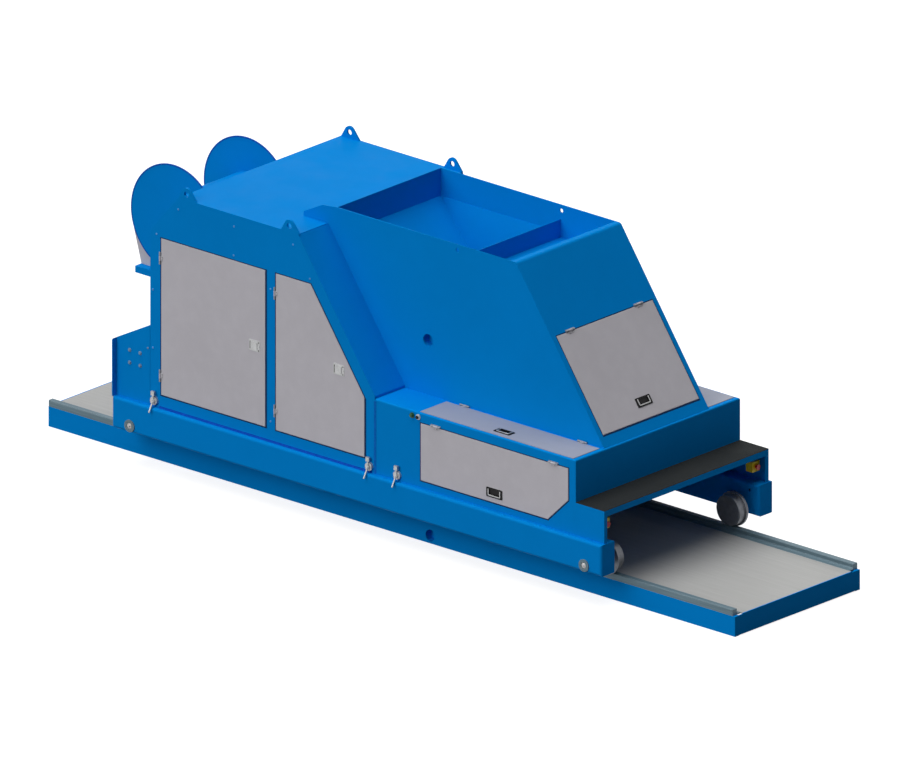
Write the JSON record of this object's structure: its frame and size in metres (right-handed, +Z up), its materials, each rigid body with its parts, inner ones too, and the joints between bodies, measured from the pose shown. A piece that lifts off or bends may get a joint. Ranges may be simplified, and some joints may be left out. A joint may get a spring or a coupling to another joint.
{
  "type": "hollow-core slab extruder on casting bed",
  "caption": "Blue sheet-metal slab extruder on four rail wheels over a steel casting bed, with open hopper, side cabinets with doors, lockers, step and rear cable reel",
  "frame": {"origin": "middle of the bed's length and width, at the bed's underside", "axes": "+X along the bed towards the step end, +Y to the machine's left side, +Z up"},
  "size_m": [6.416, 1.8498, 2.223],
  "materials": {
    "blue_paint": "satin blue paint on folded sheet",
    "grey_panel": "satin light grey paint",
    "lid_paint": "satin grey paint that reads bluish under the open sky",
    "rail_steel": "bare rolled steel, worn on the head",
    "deck_steel": "flat bare steel casting deck",
    "wheel_steel": "turned steel",
    "fitting_steel": "zinc-plated hinges and latches",
    "black_grip": "matte ribbed anti-slip mat",
    "black_plastic": "matte black moulding",
    "red_plastic": "glossy red mushroom head",
    "yellow_plastic": "yellow moulded box"
  },
  "bodies": {
    "bed": {"bed_side_beams": "blue_paint", "bed_end_plates": "blue_paint", "bed_cross_members": "blue_paint", "bed_deck": "deck_steel", "rails": "rail_steel"},
    "machine": {"frame_beams": "blue_paint", "frame_cross_members": "blue_paint", "belly_plate": "blue_paint", "axle_bearings": "rail_steel", "rear_side_plates": "blue_paint", "guide_shoes": "blue_paint", "frame_clamps": "fitting_steel", "cabinet_skins": "blue_paint", "cabinet_casings": "blue_paint", "side_walls": "blue_paint", "roof": "blue_paint", "rear_wall": "blue_paint", "lifting_lugs": "blue_paint", "hopper_shell": "blue_paint", "hopper_divider": "blue_paint", "slope_panel": "blue_paint", "lockers": "blue_paint", "push_buttons": "fitting_steel", "front_panel": "blue_paint", "step": "blue_paint", "step_tread": "black_grip", "stop_boxes": "yellow_plastic", "stop_buttons": "red_plastic", "reel_shelf": "blue_paint", "reel_guard": "grey_panel", "panel_hinges": "fitting_steel"},
    "rear_door_right": {"rear_door_right": "grey_panel", "rear_latch_right": "fitting_steel"},
    "rear_door_left": {"rear_door_left": "grey_panel", "rear_latch_left": "fitting_steel"},
    "front_door_right": {"front_door_right": "grey_panel", "front_latch_right": "fitting_steel"},
    "front_door_left": {"front_door_left": "grey_panel", "front_latch_left": "fitting_steel"},
    "front_hatch": {"front_hatch": "grey_panel", "front_hatch_handle": "black_plastic"},
    "top_lid_right": {"top_lid_right": "lid_paint", "lid_handle_right": "black_plastic"},
    "top_lid_left": {"top_lid_left": "lid_paint", "lid_handle_left": "black_plastic"},
    "side_hatch_right": {"side_hatch_right": "grey_panel", "hatch_handle_right": "black_plastic"},
    "side_hatch_left": {"side_hatch_left": "grey_panel", "hatch_handle_left": "black_plastic"},
    "cable_reel": {"cable_reel": "blue_paint"},
    "wheel_front_right": {"wheel_front_right": "wheel_steel"},
    "wheel_front_left": {"wheel_front_left": "wheel_steel"},
    "wheel_rear_right": {"wheel_rear_right": "wheel_steel"},
    "wheel_rear_left": {"wheel_rear_left": "wheel_steel"}
  },
  "joints": [
    {"name": "travel", "type": "slide", "parent": "bed", "child": "machine", "axis": [1, 0, 0], "range_m": [-0.85, 1.05]},
    {"name": "rear_door_right_hinge", "type": "hinge", "parent": "machine", "child": "rear_door_right", "pos_m": [-1.977, -0.862, 1.165], "axis": [0, 0, -1], "range_deg": [0, 110]},
    {"name": "front_door_right_hinge", "type": "hinge", "parent": "machine", "child": "front_door_right", "pos_m": [-0.906, -0.862, 1.165], "axis": [0, 0, -1], "range_deg": [0, 110]},
    {"name": "top_lid_right_hinge", "type": "hinge", "parent": "machine", "child": "top_lid_right", "pos_m": [1.147, -0.557, 1.052], "axis": [-1, 0, 0], "range_deg": [0, 85]},
    {"name": "side_hatch_right_hinge", "type": "hinge", "parent": "machine", "child": "side_hatch_right", "pos_m": [1.147, -0.862, 0.977], "axis": [-1, 0, 0], "range_deg": [0, 90]},
    {"name": "rear_door_left_hinge", "type": "hinge", "parent": "machine", "child": "rear_door_left", "pos_m": [-1.977, 0.862, 1.165], "axis": [0, 0, 1], "range_deg": [0, 110]},
    {"name": "front_door_left_hinge", "type": "hinge", "parent": "machine", "child": "front_door_left", "pos_m": [-0.906, 0.862, 1.165], "axis": [0, 0, 1], "range_deg": [0, 110]},
    {"name": "top_lid_left_hinge", "type": "hinge", "parent": "machine", "child": "top_lid_left", "pos_m": [1.147, 0.557, 1.052], "axis": [1, 0, 0], "range_deg": [0, 85]},
    {"name": "side_hatch_left_hinge", "type": "hinge", "parent": "machine", "child": "side_hatch_left", "pos_m": [1.147, 0.862, 0.977], "axis": [1, 0, 0], "range_deg": [0, 90]},
    {"name": "front_hatch_hinge", "type": "hinge", "parent": "machine", "child": "front_hatch", "pos_m": [1.40333, 0, 1.75514], "axis": [0, -1, 0], "range_deg": [0, 80]},
    {"name": "cable_reel_axis", "type": "hinge", "parent": "machine", "child": "cable_reel", "pos_m": [-2.276, 0, 1.684], "axis": [0, 1, 0], "continuous": true},
    {"name": "wheel_front_right_roll", "type": "hinge", "parent": "machine", "child": "wheel_front_right", "pos_m": [2.018, -0.6275, 0.3078], "axis": [0, 1, 0], "range_deg": [-440, 542]},
    {"name": "wheel_front_left_roll", "type": "hinge", "parent": "machine", "child": "wheel_front_left", "pos_m": [2.018, 0.6275, 0.3078], "axis": [0, 1, 0], "range_deg": [-440, 542]},
    {"name": "wheel_rear_right_roll", "type": "hinge", "parent": "machine", "child": "wheel_rear_right", "pos_m": [-2.228, -0.6275, 0.3078], "axis": [0, 1, 0], "range_deg": [-440, 542]},
    {"name": "wheel_rear_left_roll", "type": "hinge", "parent": "machine", "child": "wheel_rear_left", "pos_m": [-2.228, 0.6275, 0.3078], "axis": [0, 1, 0], "range_deg": [-440, 542]}
  ],
  "couplings": [
    {"joint": "wheel_front_right_roll", "follows": "travel", "rad_per_m": 8.8889},
    {"joint": "wheel_front_left_roll", "follows": "travel", "rad_per_m": 8.8889},
    {"joint": "wheel_rear_right_roll", "follows": "travel", "rad_per_m": 8.8889},
    {"joint": "wheel_rear_left_roll", "follows": "travel", "rad_per_m": 8.8889}
  ]
}
